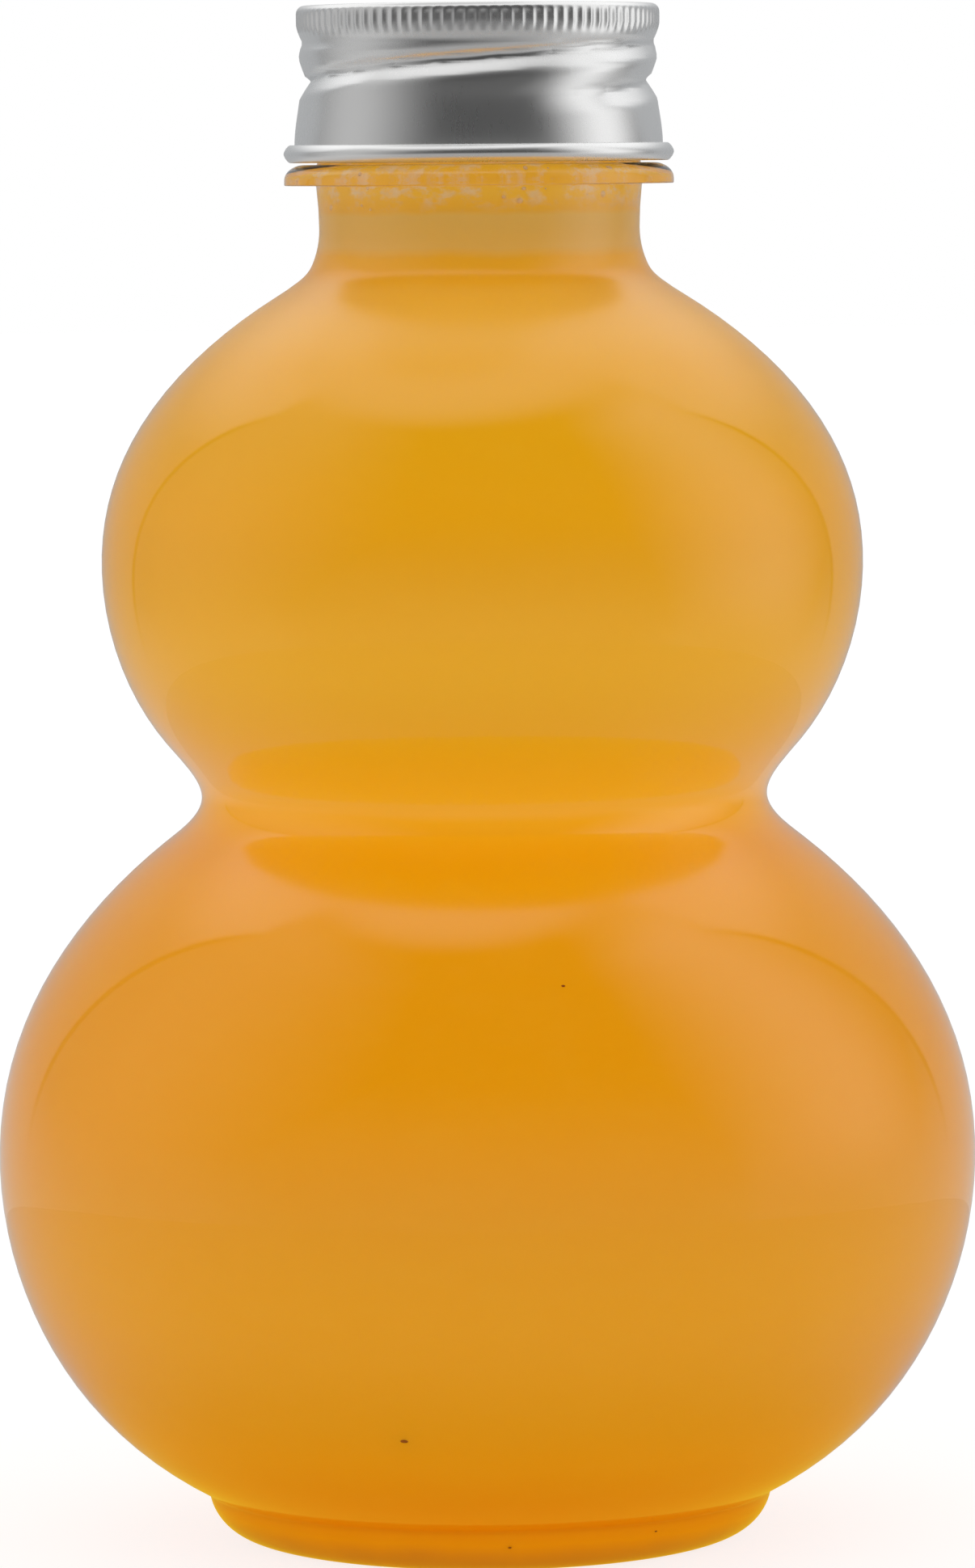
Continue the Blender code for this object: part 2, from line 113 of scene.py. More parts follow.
def gathered(outline, rows, finest, coarsest, turnStep=5.0, crowded=None):
    # Rows of points that gather where the outline bends: turnStep degrees of bend apart, held between finest
    # and coarsest millimetres. crowded is a test of points and the most they may be apart where it holds.
    steps = np.diff(outline, axis=0)
    lengths = np.hypot(*steps.T)
    headings = np.unwrap(np.arctan2(steps[:, 1], steps[:, 0]))
    bend = np.abs(np.gradient(headings)) / np.maximum(lengths, 1e-9)
    bend = np.convolve(bend, np.ones(9) / 9, "same")
    apart = np.clip(math.radians(turnStep) / np.maximum(bend, 1e-9), finest, coarsest)
    if crowded is not None:
        mask, most = crowded
        apart = np.where(mask(outline[:-1]), np.minimum(apart, most), apart)
    count = np.concatenate([[0], np.cumsum(lengths / apart)])
    places = np.linspace(0, count[-1], rows)
    return np.stack([np.interp(places, count, column) for column in outline.T], 1)


# Meshes

def meshObject(name, points, quads, triangles, sharpAngle=None):
    # Puts whole arrays of points, in millimetres, and faces into a smooth mesh
    mesh = bpy.data.meshes.new(name)
    corners = np.concatenate([quads.ravel(), triangles.ravel()])
    starts = np.concatenate([4 * np.arange(len(quads)), 4 * len(quads) + 3 * np.arange(len(triangles))])
    mesh.vertices.add(len(points))
    mesh.vertices.foreach_set("co", (points * mm).astype(np.float32).ravel())
    mesh.loops.add(len(corners))
    mesh.loops.foreach_set("vertex_index", corners.astype(np.int32))
    mesh.polygons.add(len(starts))
    mesh.polygons.foreach_set("loop_start", starts.astype(np.int32))
    mesh.update(calc_edges=True)
    mesh.validate()
    mesh.shade_smooth()
    if sharpAngle:
        mesh.set_sharp_from_angle(angle=math.radians(sharpAngle))
    piece = bpy.data.objects.new(name, mesh)
    bpy.context.scene.collection.objects.link(piece)
    return piece


def turnedObject(name, outline, sides, shape=None, sharpAngle=None):
    # A surface of revolution: (r cos a, r sin a, z) for each angle a and outline row (r, z). The outline
    # starts and ends on the axis and runs up its outside, so faces point out. shape may change the radii.
    angles = fullTurn * np.arange(sides) / sides
    radii = np.repeat(outline[1:-1, 0][:, None], sides, 1)
    heights = np.repeat(outline[1:-1, 1][:, None], sides, 1)
    if shape is not None:
        radii = shape(radii, heights, angles[None, :])
    rows = len(radii)
    grid = np.stack([radii * np.cos(angles), radii * np.sin(angles), heights], 2).reshape(-1, 3)
    poles = np.array([[0, 0, outline[0, 1]], [0, 0, outline[-1, 1]]])
    numbers = np.arange(rows * sides).reshape(rows, sides)
    beside = np.roll(numbers, -1, 1)
    quads = np.stack([numbers[:-1], beside[:-1], beside[1:], numbers[1:]], 2).reshape(-1, 4)
    first = np.stack([np.full(sides, rows * sides), beside[0], numbers[0]], 1)
    last = np.stack([np.full(sides, rows * sides + 1), numbers[-1], beside[-1]], 1)
    return meshObject(name, np.concatenate([grid, poles]), quads, np.concatenate([first, last]), sharpAngle)


def ballsObject(name, centres, radii, flatness, rings=6, sides=10):
    # Many small balls in one mesh: each is a unit ball times its radius, flattened in height, at its centre
    polar = np.pi * np.arange(1, rings) / rings
    around = fullTurn * np.arange(sides) / sides
    ring = np.stack([
        np.outer(np.sin(polar), np.cos(around)), np.outer(np.sin(polar), np.sin(around)),
        np.outer(np.cos(polar), np.ones(sides)),
    ], 2).reshape(-1, 3)
    unit = np.concatenate([ring, [[0, 0, 1], [0, 0, -1]]])
    numbers = np.arange((rings - 1) * sides).reshape(rings - 1, sides)
    beside = np.roll(numbers, -1, 1)
    quads = np.stack([numbers[:-1], numbers[1:], beside[1:], beside[:-1]], 2).reshape(-1, 4)
    top = np.stack([np.full(sides, len(unit) - 2), numbers[0], beside[0]], 1)
    bottom = np.stack([np.full(sides, len(unit) - 1), beside[-1], numbers[-1]], 1)
    triangles = np.concatenate([top, bottom])
    full = np.ones_like(flatness)
    scales = radii[:, None, None] * np.stack([full, full, flatness], 1)[:, None]
    points = (unit[None] * scales + centres[:, None]).reshape(-1, 3)
    offsets = (len(unit) * np.arange(len(centres)))[:, None, None]
    quads, triangles = quads[None] + offsets, triangles[None] + offsets
    return meshObject(name, points, quads.reshape(-1, 4), triangles.reshape(-1, 3))


# Shader nodes

class Wire:
    # A node's output that can stand in a sum: each operator adds a Math node
    def __init__(self, nodes, socket):
        self.nodes, self.socket = nodes, socket

    def joined(self, operation, first, second):
        return self.nodes.maths(operation, first, second)

    def __add__(self, other):
        return self.joined("ADD", self, other)

    def __radd__(self, other):
        return self.joined("ADD", other, self)

    def __sub__(self, other):
        return self.joined("SUBTRACT", self, other)

    def __rsub__(self, other):
        return self.joined("SUBTRACT", other, self)

    def __mul__(self, other):
        return self.joined("MULTIPLY", self, other)

    def __rmul__(self, other):
        return self.joined("MULTIPLY", other, self)

    def __truediv__(self, other):
        return self.joined("DIVIDE", self, other)

    def __rtruediv__(self, other):
        return self.joined("DIVIDE", other, self)

    def __pow__(self, other):
        return self.joined("POWER", self, other)


class Nodes:
    # The node tree of one material or of the world
    def __init__(self, owner):
        owner.use_nodes = True
        self.tree = owner.node_tree
        self.tree.nodes.clear()

    def add(self, kind, settings=None, inputs=None, output=0):
        # Settings come first, then each socket's value or link
        node = self.tree.nodes.new(kind)
        for key, value in (settings or {}).items():
            setattr(node, key, value)
        for key, value in (inputs or {}).items():
            if isinstance(value, Wire):
                self.tree.links.new(value.socket, node.inputs[key])
            else:
                node.inputs[key].default_value = value
        return Wire(self, node.outputs[output]) if len(node.outputs) else node

    def maths(self, operation, *values):
        return self.add("ShaderNodeMath", {"operation": operation}, dict(enumerate(values)))

    def place(self):
        return self.add("ShaderNodeTexCoord", output=3)

    def outputs(self, kind, inputs=None):
        node = self.add(kind, {}, inputs).socket.node
        return [Wire(self, socket) for socket in node.outputs]

    def split(self, vector):
        return self.outputs("ShaderNodeSeparateXYZ", {0: vector})

    def ramp(self, factor, stops):
        # Each stop is its place and its linear red, green and blue
        wire = self.add("ShaderNodeValToRGB", {}, {0: factor})
        ramp = wire.socket.node.color_ramp
        ramp.interpolation = "EASE"
        for stop in stops[len(ramp.elements):]:
            ramp.elements.new(stop[0])
        for element, (place, *colour) in zip(ramp.elements, stops):
            element.position = place
            element.color = (*colour, 1)
        return wire

    def between(self, value, low, high):
        # 0 at low, 1 at high and a smooth step from one to the other
        settings = {"interpolation_type": "SMOOTHSTEP"}
        return self.add("ShaderNodeMapRange", settings, {"Value": value, "From Min": low, "From Max": high})

    def mix(self, factor, first, second, blend="MIX"):
        settings = {"data_type": "RGBA", "blend_type": blend}
        return self.add("ShaderNodeMix", settings, {0: factor, 6: first, 7: second}, output=2)

    def noise(self, vector, scale, detail=2.0, roughness=0.5):
        inputs = {"Vector": vector, "Scale": scale, "Detail": detail, "Roughness": roughness}
        return self.add("ShaderNodeTexNoise", {}, inputs)

    def stretched(self, vector, scale):
        return self.add("ShaderNodeMapping", {}, {"Vector": vector, "Scale": scale})

    def finish(self, inputs):
        shader = self.add("ShaderNodeBsdfPrincipled", {}, inputs)
        self.add("ShaderNodeOutputMaterial", {}, {"Surface": shader})


def tint(red, green, blue):
    # A display colour from 0 to 255 as the linear colour that a shader takes
    shares = [value / 255 for value in (red, green, blue)]
    return tuple(s / 12.92 if s <= 0.04045 else ((s + 0.055) / 1.055) ** 2.4 for s in shares) + (1.0,)


def grey(level):
    return (level,) * 3 + (1,)


def dress(piece, material, body, slot, *nodes):
    piece.data.materials.append(material)
    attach(piece, body)
    if nodes:
        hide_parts(*nodes)
    print("%s: %d faces" % (piece.name, len(piece.data.polygons)))


# The bottle

bottle = {
    "sides": 192, "rows": 500,
    "footRadius": 30.9, "heelRadius": 5.5, "standingRing": 2.6,
    "pushUp": 5.0, "gateRadius": 2.4, "gateHeight": 0.8,
    "footBlend": 0.9, "footCrease": 4.9, "footCreaseShare": 0.857, "waistShare": 0.815, "waistBlend": 19.5,
    "lower": {"radius": 53.3, "halfHeight": 45.6, "skew": -0.048, "cubicSkew": -0.125},
    "upper": {"radius": 41.35, "halfHeight": 34.0, "skew": -0.066, "cubicSkew": -0.18},
    "neckCreaseShare": 0.815, "flareRadius": 9.5, "flareHeight": 6.2, "flareBlend": 2.6,
    "neckRadius": 17.4, "neckDraft": 0.3, "neckHeight": 4.75,
    "ringRadius": 21.15, "ringEdge": 0.55, "domeHeight": 1.7, "domeWidth": 2.2,
    "finishRadius": 17.55, "finishFoot": 2.3, "threadFoot": 3.0, "boreRadius": 15.6, "rimChamfer": 0.5,
    "wall": 0.6, "baseWall": 1.2, "neckWallStart": 0.6, "cornerReach": 0.22,
    "starts": 2, "lead": 7.6, "ridgeHeight": 1.0, "ridgeFootShare": 0.29, "ridgeCrestShare": 0.092,
    "ridgeEndDrop": 2.95, "ridgeEndAngle": -128.0, "ridgeArc": 127.0, "ridgeFade": 14.0,
    "hazeFoot": 118.0, "hazeFull": 133.0, "hazeEnd": 146.5, "haze": 0.23,  # added roughness, shoulder
    "waistHazeHeight": 74.0, "waistHazeReach": 9.0, "waistHaze": 0.14,  # added roughness, under the waist
}
lowerCentre = bottle["footCrease"] + bottle["footCreaseShare"] * bottle["lower"]["halfHeight"]
waistHeight = lowerCentre + bottle["waistShare"] * bottle["lower"]["halfHeight"]
upperCentre = waistHeight + bottle["waistShare"] * bottle["upper"]["halfHeight"]
flareFoot = upperCentre + bottle["neckCreaseShare"] * bottle["upper"]["halfHeight"]
flareTop = flareFoot + bottle["flareHeight"]
pitch = bottle["lead"] / bottle["starts"]


def bulbRadius(z, centre, bulb):
    # An ellipse with a skew: radius * sqrt(1 - u^2) * (1 + s1 u + s3 u^3), u being height over half height
    u = np.clip((z - centre) / bulb["halfHeight"], -1, 1)
    return bulb["radius"] * np.sqrt(1 - u * u) * (1 + bulb["skew"] * u + bulb["cubicSkew"] * u**3)


def neckRadius(z):
    # A cylinder with a little draft above the flare's top, and the flare's arc under it
    drop = np.clip(flareTop - z, 0, bottle["flareHeight"])
    flare = bottle["flareRadius"] - np.sqrt(bottle["flareRadius"] ** 2 - drop**2)
    draft = bottle["neckDraft"] * np.maximum((z - flareTop) / bottle["neckHeight"], 0) ** 2
    return bottle["neckRadius"] + flare + draft


def bodyRadius(z):
    # The larger of the two bulbs, the foot and the neck at each height, with rounded creases
    lower = bulbRadius(z, lowerCentre, bottle["lower"])
    upper = bulbRadius(z, upperCentre, bottle["upper"])
    radius = smoothMax(lower, upper, bottle["waistBlend"])
    heel = bottle["heelRadius"]
    foot = bottle["footRadius"] - heel + np.sqrt(np.maximum(heel**2 - np.maximum(heel - z, 0) ** 2, 0))
    radius = np.where(z < lowerCentre, smoothMax(radius, foot, bottle["footBlend"]), radius)
    return np.where(z > upperCentre, smoothMax(radius, neckRadius(z), bottle["flareBlend"]), radius)


def baseOutline():
    # The underside from the axis to the standing ring's outer edge: gate nub, pushed-up ellipse, flat ring
    ringOuter = bottle["footRadius"] - bottle["heelRadius"]
    ringInner = ringOuter - bottle["standingRing"]
    radii = np.linspace(bottle["gateRadius"], ringInner, 200)
    dome = np.stack([radii, bottle["pushUp"] * np.sqrt(1 - (radii / ringInner) ** 2)], 1)
    nub = dome[0, 1] - bottle["gateHeight"]
    gate = line((0, nub), (bottle["gateRadius"] - bottle["gateHeight"] / 2, nub))
    return np.concatenate([gate, dome, line((ringOuter, 0))])


def sideOutline(top):
    heights = np.concatenate([np.linspace(0, 1, 200) ** 2 * bottle["heelRadius"],
                              np.linspace(bottle["heelRadius"], top, 4000)[1:]])
    return np.stack([bodyRadius(heights), heights], 1)


def innerOutline(extra):
    # The cavity from the axis at the base to the flare's top: the outside moved in by the wall and by extra
    outside = evenly(np.concatenate([baseOutline(), sideOutline(flareTop)]), 0.05)
    step = np.gradient(outside, axis=0)
    step /= np.hypot(*step.T)[:, None]
    radius, z = outside.T
    neckStart = upperCentre + bottle["neckWallStart"] * (flareFoot - upperCentre)
    neckWall = bottle["neckRadius"] - bottle["boreRadius"]
    wall = bottle["wall"] + (neckWall - bottle["wall"]) * smoothStep((z - neckStart) / (flareTop - neckStart))
    low = (z < bottle["footCrease"]) & (radius < bottle["footRadius"])
    thinning = smoothStep(z / bottle["footCrease"]) * (radius > bottle["footRadius"] - bottle["heelRadius"])
    wall = np.where(low, bottle["baseWall"] + (bottle["wall"] - bottle["baseWall"]) * thinning, wall) + extra
    inside = np.stack([radius - wall * step[:, 1], z + wall * step[:, 0]], 1)
    inside[0] = (0, bottle["pushUp"] + bottle["baseWall"] + extra)
    floor = inside[inside[:, 1] > bottle["baseWall"] + extra - 0.02]
    return floor[floor[:, 0] >= 0]


def threadRidge(radii, heights, angles):
    # Each start's ridge: a trapezoid section about a helix, faded at both ends, added to the finish's radius
    foot, crest = bottle["ridgeFootShare"] * pitch, bottle["ridgeCrestShare"] * pitch
    endHeight = levels["rim"] - bottle["ridgeEndDrop"]
    ridge = np.zeros(np.broadcast(radii, angles).shape)
    for start in range(bottle["starts"]):
        end = math.radians(bottle["ridgeEndAngle"]) + start * fullTurn / bottle["starts"]
        back = np.degrees((end - angles) % fullTurn)
        off = np.abs(heights - endHeight + bottle["lead"] * back / 360)
        section = smoothStep((foot - off) / (foot - crest))
        fade = smoothStep(np.minimum(back, bottle["ridgeArc"] - back) / bottle["ridgeFade"])
        ridge = np.maximum(ridge, section * fade * bottle["ridgeHeight"])
    above = heights > levels["ringUnderside"] + bottle["threadFoot"]
    onFinish = above & (radii > bottle["finishRadius"] - 0.05)
    return radii + np.where(onFinish, ridge, 0)


def bottleOutline():
    ringFoot = levels["ringUnderside"]
    domeFoot = ringFoot + bottle["ringEdge"]
    domeCentre = bottle["ringRadius"] - bottle["domeWidth"]
    dome = arc(domeCentre, domeFoot, bottle["domeWidth"], bottle["domeHeight"], 0, 90)
    rim, chamfer = levels["rim"], bottle["rimChamfer"]
    wide, bore = bottle["finishRadius"], bottle["boreRadius"]
    edge = line((wide, dome[-1, 1]), (wide, rim - chamfer), (wide - chamfer, rim))
    finish = np.concatenate([edge, line((bore, rim), (bore, flareTop))])
    ring = line((bottle["ringRadius"], ringFoot), (bottle["ringRadius"], domeFoot))
    outside = np.concatenate([baseOutline(), sideOutline(ringFoot), ring, dome, finish])
    return np.concatenate([outside, innerOutline(0)[::-1]])


def bottleMaterial():
    # Clear blown plastic: glossy, less so at waist, shoulder and neck, with the faint waves of a blown wall
    material = bpy.data.materials.new("clear_plastic")
    nodes = Nodes(material)
    place = nodes.place()
    waves = nodes.noise(nodes.stretched(place, (1, 1, 0.45)), 38, 1.5)
    fine = nodes.noise(nodes.stretched(place, (0.25, 0.25, 1)), 900, 2)
    z = nodes.split(place)[2]
    haze = nodes.between(z, bottle["hazeFoot"] * mm, bottle["hazeFull"] * mm)
    haze = haze * (1 - nodes.between(z, bottle["hazeEnd"] * mm, bottle["hazeEnd"] * mm + mm)) * bottle["haze"]
    off = nodes.maths("ABSOLUTE", z - bottle["waistHazeHeight"] * mm)
    waist = (1 - nodes.between(off, 0.0, bottle["waistHazeReach"] * mm)) * bottle["waistHaze"]
    height = waves + fine * 0.03
    bump = nodes.add("ShaderNodeBump", {}, {"Strength": 0.12, "Distance": 0.0006, "Height": height})
    nodes.finish({
        "Base Color": (1, 1, 1, 1), "Roughness": fine * 0.02 + 0.015 + haze + waist, "IOR": 1.57,
        "Transmission Weight": 1.0, "Normal": bump,
    })
    return material


outline = softened(bottleOutline(), bottle["cornerReach"])
finishFoot = levels["ringUnderside"] + bottle["finishFoot"]
crowded = (lambda rows: (rows[:, 1] > finishFoot) & (rows[:, 0] > bottle["finishRadius"] - 0.1), 0.28)
bottlePiece = turnedObject("blown_bottle", gathered(outline, bottle["rows"], 0.12, 2.4, 4.0, crowded),
                           bottle["sides"], threadRidge)
dress(bottlePiece, bottleMaterial(), "bottle", "clear_plastic", "bottle")


# The drink

drink = {
    "sides": 144, "rows": 300,
    "intoWall": 0.09,  # how far it reaches into the wall, so that no air shows between them
    "meniscus": 0.5, "meniscusWidth": 0.9, "topRoom": 1.0, "neckStart": 0.5,
    "frothFrom": 0.960, "frothTo": 0.978, "frothAmount": 0.8,  # the first two are shares of the fill height
}


def drinkOutline():
    # The cavity's shape, grown a hair into the wall, with a meniscus at the top
    inside = innerOutline(0)
    inside = inside[inside[:, 1] < levels["fill"] - drink["topRoom"]]
    neck = line((bottle["boreRadius"], flareTop + drink["neckStart"]), (bottle["boreRadius"], levels["fill"]))
    side = evenly(np.concatenate([inside, neck]), 0.1)
    step = np.gradient(side, axis=0)
    step /= np.hypot(*step.T)[:, None]
    side = side + drink["intoWall"] * np.stack([step[:, 1], -step[:, 0]], 1)
    side[0] = (0, side[0, 1])
    radii = np.linspace(side[-1, 0], 0, 60)[1:]
    edge = side[-1, 0] - radii
    sag = drink["meniscus"] * (1 - np.exp(-edge / drink["meniscusWidth"]))
    top = np.stack([radii, levels["fill"] - sag], 1)
    return np.concatenate([side, top])


def drinkMaterial():
    # Cloudy orange drink. Its colour changes with height as painted shade and light: deeper where the bulbs
    # shade the base and the waist, a painted shade line at the very bottom edge, paler painted bands under
    # the shoulder, and dull in the neck, where it stands in for light passing through the thin drink. The
    # colours are paler than it looks, because light turning back inside the wall deepens them.
    material = bpy.data.materials.new("drink")
    nodes = Nodes(material)
    place = nodes.place()
    z = nodes.split(place)[2]
    cloud = nodes.noise(place, 26, 3)
    wavy = nodes.noise(nodes.stretched(place, (1, 1, 0.4)), 150, 2)
    height = (z + (cloud - 0.5) * 0.0012 + (wavy - 0.5) * 0.0010) / (levels["fill"] * mm)
    # Painted shade and light: the stops darken and lighten bands by height for how light falls on the drink
    colour = nodes.ramp(height, [
        (0.000, 0.750, 0.37, 0.060), (0.010, 0.750, 0.37, 0.060), (0.024, 0.975, 0.54, 0.004),
        (0.130, 0.975, 0.60, 0.008), (0.240, 0.975, 0.60, 0.006), (0.320, 0.975, 0.58, 0.004),
        (0.500, 0.980, 0.60, 0.004), (0.560, 0.985, 0.65, 0.006), (0.640, 0.975, 0.67, 0.025),
        (0.800, 0.965, 0.65, 0.014), (0.850, 0.965, 0.65, 0.020), (0.880, 0.970, 0.68, 0.080),
        (0.903, 0.970, 0.68, 0.080), (0.914, 0.978, 0.65, 0.025), (0.928, 0.980, 0.64, 0.015),
        (0.931, 0.975, 0.64, 0.030), (0.936, 0.915, 0.70, 0.180), (0.961, 0.915, 0.70, 0.180),
        (0.966, 0.975, 0.63, 0.020), (1.000, 0.975, 0.63, 0.030),
    ])
    pulp = nodes.noise(nodes.stretched(place, (1, 1, 2.2)), 160, 4, 0.6)
    colour = nodes.mix(nodes.between(pulp, 0.35, 0.8) * 0.06, colour, (0.98, 0.75, 0.1, 1))
    # Froth clings to the wall near the top in patches of small cells
    share = z / (levels["fill"] * mm)
    high = nodes.between(share, drink["frothFrom"], drink["frothTo"])
    patches = nodes.between(nodes.noise(nodes.stretched(place, (1, 1, 1.4)), 400, 4, 0.65), 0.46, 0.64)
    cells = nodes.noise(place, 900, 3, 0.7)
    foam = nodes.mix(nodes.between(cells, 0.3, 0.7), (0.89, 0.82, 0.72, 1), (0.84, 0.64, 0.36, 1))
    colour = nodes.mix(high * patches * drink["frothAmount"], colour, foam)
    # Painted light: an emission glow stands in for light that has passed through the drink, coming out where
    # the bulbs shade it and in the neck under the cap
    paintedGlow = nodes.ramp(share, [
        (0.000, 0.000, 0.000, 0.000), (0.050, 0.010, 0.008, 0.000), (0.100, 0.050, 0.038, 0.000),
        (0.180, 0.065, 0.050, 0.000), (0.300, 0.030, 0.022, 0.000), (0.440, 0.000, 0.000, 0.000),
        (0.500, 0.015, 0.010, 0.000), (0.555, 0.095, 0.078, 0.008), (0.630, 0.075, 0.052, 0.000),
        (0.740, 0.030, 0.010, 0.000), (0.820, 0.000, 0.000, 0.000), (0.920, 0.020, 0.000, 0.000),
        (0.950, 0.000, 0.000, 0.000), (0.978, 0.080, 0.045, 0.010), (0.990, 0.180, 0.075, 0.020),
        (1.000, 0.180, 0.075, 0.020),
    ])
    nodes.finish({
        "Base Color": colour, "Roughness": 0.6, "Specular IOR Level": 0.0,
        "Emission Color": paintedGlow, "Emission Strength": 1.0,
    })
    return material


outline = gathered(softened(drinkOutline(), 0.3), drink["rows"], 0.3, 2.4)
drinkPiece = turnedObject("orange_drink", outline, drink["sides"])
dress(drinkPiece, drinkMaterial(), "bottle", "drink", "drink")


# The cap

cap = {
    "knurls": 104, "pointsPerKnurl": 8, "rows": 119,
    "sheet": 0.25, "height": 17.0, "bandRadius": 19.7, "shoulderRadius": 0.9, "lobeRadius": 19.5,
    "knurlTop": 0.62, "knurlBottom": 3.2, "knurlFade": 0.3, "knurlDepth": 0.17, "knurlPower": 0.6,
    "skirtRadius": 19.98, "flareHeight": 5.4,
    "neckingDrop": 4.05, "neckingDepth": 0.52, "neckingUpper": 2.0, "neckingLower": 1.8, "neckingPower": 1.5,
    "groove": {
        "depth": 1.5, "lead": 8.1, "belowRidge": 0.46, "startDrop": 0.8, "startArc": 160.0,
        "leadIn": 8.0, "arc": 276.0, "fadeIn": 58.0, "fadeOut": 26.0,
        "lip": 0.42, "lipShare": 0.11, "lipArc": 100.0, "upperShare": 0.72, "upperPower": 1.3,
        "lowerShare": 0.58, "lowerPower": 1.12, "tail": 0.2, "tailShare": 1.3,
    },
    "curlHalfWidth": 0.73, "curlHalfHeight": 0.98, "curlEnd": 108.0, "curlPower": 1.35, "cornerReach": 0.12,
}
skirtFoot = cap["height"] - 2 * cap["curlHalfHeight"]


def capGroove(heights, angles):
    # The rolled thread along each start's helix, faded at both ends, its widths shares of the pitch. Below
    # its line lies a flank mixed with a soft tail, above it a short steep lip and a long rise to the lobe.
    groove = cap["groove"]
    startLine = levels["rim"] - bottle["ridgeEndDrop"] - groove["belowRidge"] * pitch
    depth = np.zeros(np.broadcast(heights, angles).shape)
    for start in range(bottle["starts"]):
        end = math.radians(bottle["ridgeEndAngle"]) + start * fullTurn / bottle["starts"]
        lead = math.radians(bottle["ridgeArc"] + groove["leadIn"])
        along = np.degrees((angles - end + lead) % fullTurn)
        above = heights - startLine - groove["lead"] * (along - math.degrees(lead)) / 360
        above = above + groove["startDrop"] * (1 - smoothStep(along / groove["startArc"]))
        lipAmount = groove["lip"] * smoothStep(along / groove["lipArc"])
        lip = np.maximum(1 - above / (groove["lipShare"] * pitch), 0) * lipAmount
        rise = np.maximum(1 - above / (groove["upperShare"] * pitch), 0) ** groove["upperPower"]
        upper = lip + rise * (1 - lipAmount)
        flank = np.maximum(1 + above / (groove["lowerShare"] * pitch), 0) ** groove["lowerPower"]
        tail = np.maximum(1 + above / (groove["tailShare"] * pitch), 0) ** 2
        lower = flank * (1 - groove["tail"]) + tail * groove["tail"]
        fade = smoothStep(along / groove["fadeIn"])
        fade = fade * smoothStep((groove["arc"] - along) / groove["fadeOut"])
        depth = np.maximum(depth, np.where(above > 0, upper, lower) * fade * groove["depth"])
    return depth


def capSkirt(drops):
    # The lobes' radius, flared out towards the curl
    flare = smoothStep((drops - skirtFoot + cap["flareHeight"]) / cap["flareHeight"])
    return cap["lobeRadius"] + (cap["skirtRadius"] - cap["lobeRadius"]) * flare


def capPlain(drops):
    # The side's radius where nothing is rolled in
    share = smoothStep((drops - cap["shoulderRadius"]) / (cap["neckingDrop"] - cap["shoulderRadius"]))
    return cap["bandRadius"] + (capSkirt(drops) - cap["bandRadius"]) * share


def capSide(drops, angles):
    # The side's radius: band, necking, thread lobes and a skirt that flares towards the curl
    below = drops - cap["neckingDrop"]
    step = cap["bandRadius"] - cap["lobeRadius"] + cap["neckingDepth"]
    band = cap["bandRadius"] - step * np.clip(1 + below / cap["neckingUpper"], 0, 1) ** cap["neckingPower"]
    necking = cap["neckingDepth"] * np.clip(1 - below / cap["neckingLower"], 0, 1) ** 2
    lobes = capSkirt(drops) - np.maximum(necking, capGroove(levels["capTop"] - drops, angles))
    return np.where(below < 0, band, lobes)


def capPressed(radii, heights, angles):
    # The turned outline holds the side at its unrolled radius; here the thread and the knurls are pressed in
    drops = levels["capTop"] - heights
    plain = capPlain(drops)
    outside = np.abs(radii - plain) < cap["sheet"] / 2
    inside = np.abs(radii - plain + cap["sheet"]) < cap["sheet"] / 2
    side = (drops > cap["shoulderRadius"]) & (drops < skirtFoot - 0.05)
    moved = capSide(drops, angles) - plain
    radii = radii + np.where(side & (outside | inside), moved, 0)
    fade = smoothStep((drops - cap["knurlTop"]) / cap["knurlFade"])
    fade = fade * smoothStep((cap["knurlBottom"] - drops) / (2 * cap["knurlFade"]))
    wave = 0.5 - 0.5 * np.cos(cap["knurls"] * angles)
    return radii - np.where(outside, cap["knurlDepth"] * fade * wave ** cap["knurlPower"], 0)


def capOutline():
    # Inside from the axis down to the curl, round the curl's outside and hollow, up the outside to the axis
    top = levels["capTop"]
    shoulder, sheet = cap["shoulderRadius"], cap["sheet"]
    drops = np.linspace(shoulder, skirtFoot, 800)
    side = np.stack([capPlain(drops), top - drops], 1)
    curl = (cap["skirtRadius"] - sheet + cap["curlHalfWidth"], top - cap["height"] + cap["curlHalfHeight"])
    hollow = (cap["curlHalfWidth"] - sheet, cap["curlHalfHeight"] - sheet)
    corner = (cap["bandRadius"] - shoulder, top - shoulder)
    crown = arc(*corner, shoulder, shoulder, 90, 0)
    insideShoulder = arc(*corner, shoulder - sheet, shoulder - sheet, 0, 90)
    inner = side[::-1] - (sheet, 0)
    outer = np.concatenate([
        line((0, top)), crown, side,
        arc(*curl, *hollow, -180, cap["curlEnd"], 60, cap["curlPower"]),
        arc(*curl, cap["curlHalfWidth"], cap["curlHalfHeight"], cap["curlEnd"], -180, 60, cap["curlPower"]),
        inner, insideShoulder, line((0, top - sheet)),
    ])
    return outer[::-1]


def capMaterial():
    # Satin aluminium: fine upright brushing, very light
    material = bpy.data.materials.new("cap_metal")
    nodes = Nodes(material)
    place = nodes.place()
    brushed = nodes.noise(nodes.stretched(place, (1, 1, 0.06)), 4200, 2)
    cloudy = nodes.noise(place, 90, 3)
    dents = nodes.noise(nodes.stretched(place, (1, 1, 1.8)), 130, 2)
    bump = nodes.add("ShaderNodeBump", {}, {"Strength": 0.12, "Distance": 0.0001, "Height": dents})
    nodes.finish({
        "Base Color": nodes.mix(cloudy, tint(241, 241, 241), tint(247, 247, 246)),
        "Metallic": 1.0, "Roughness": 0.24 + 0.04 * brushed + 0.04 * cloudy, "Normal": bump,
    })
    return material


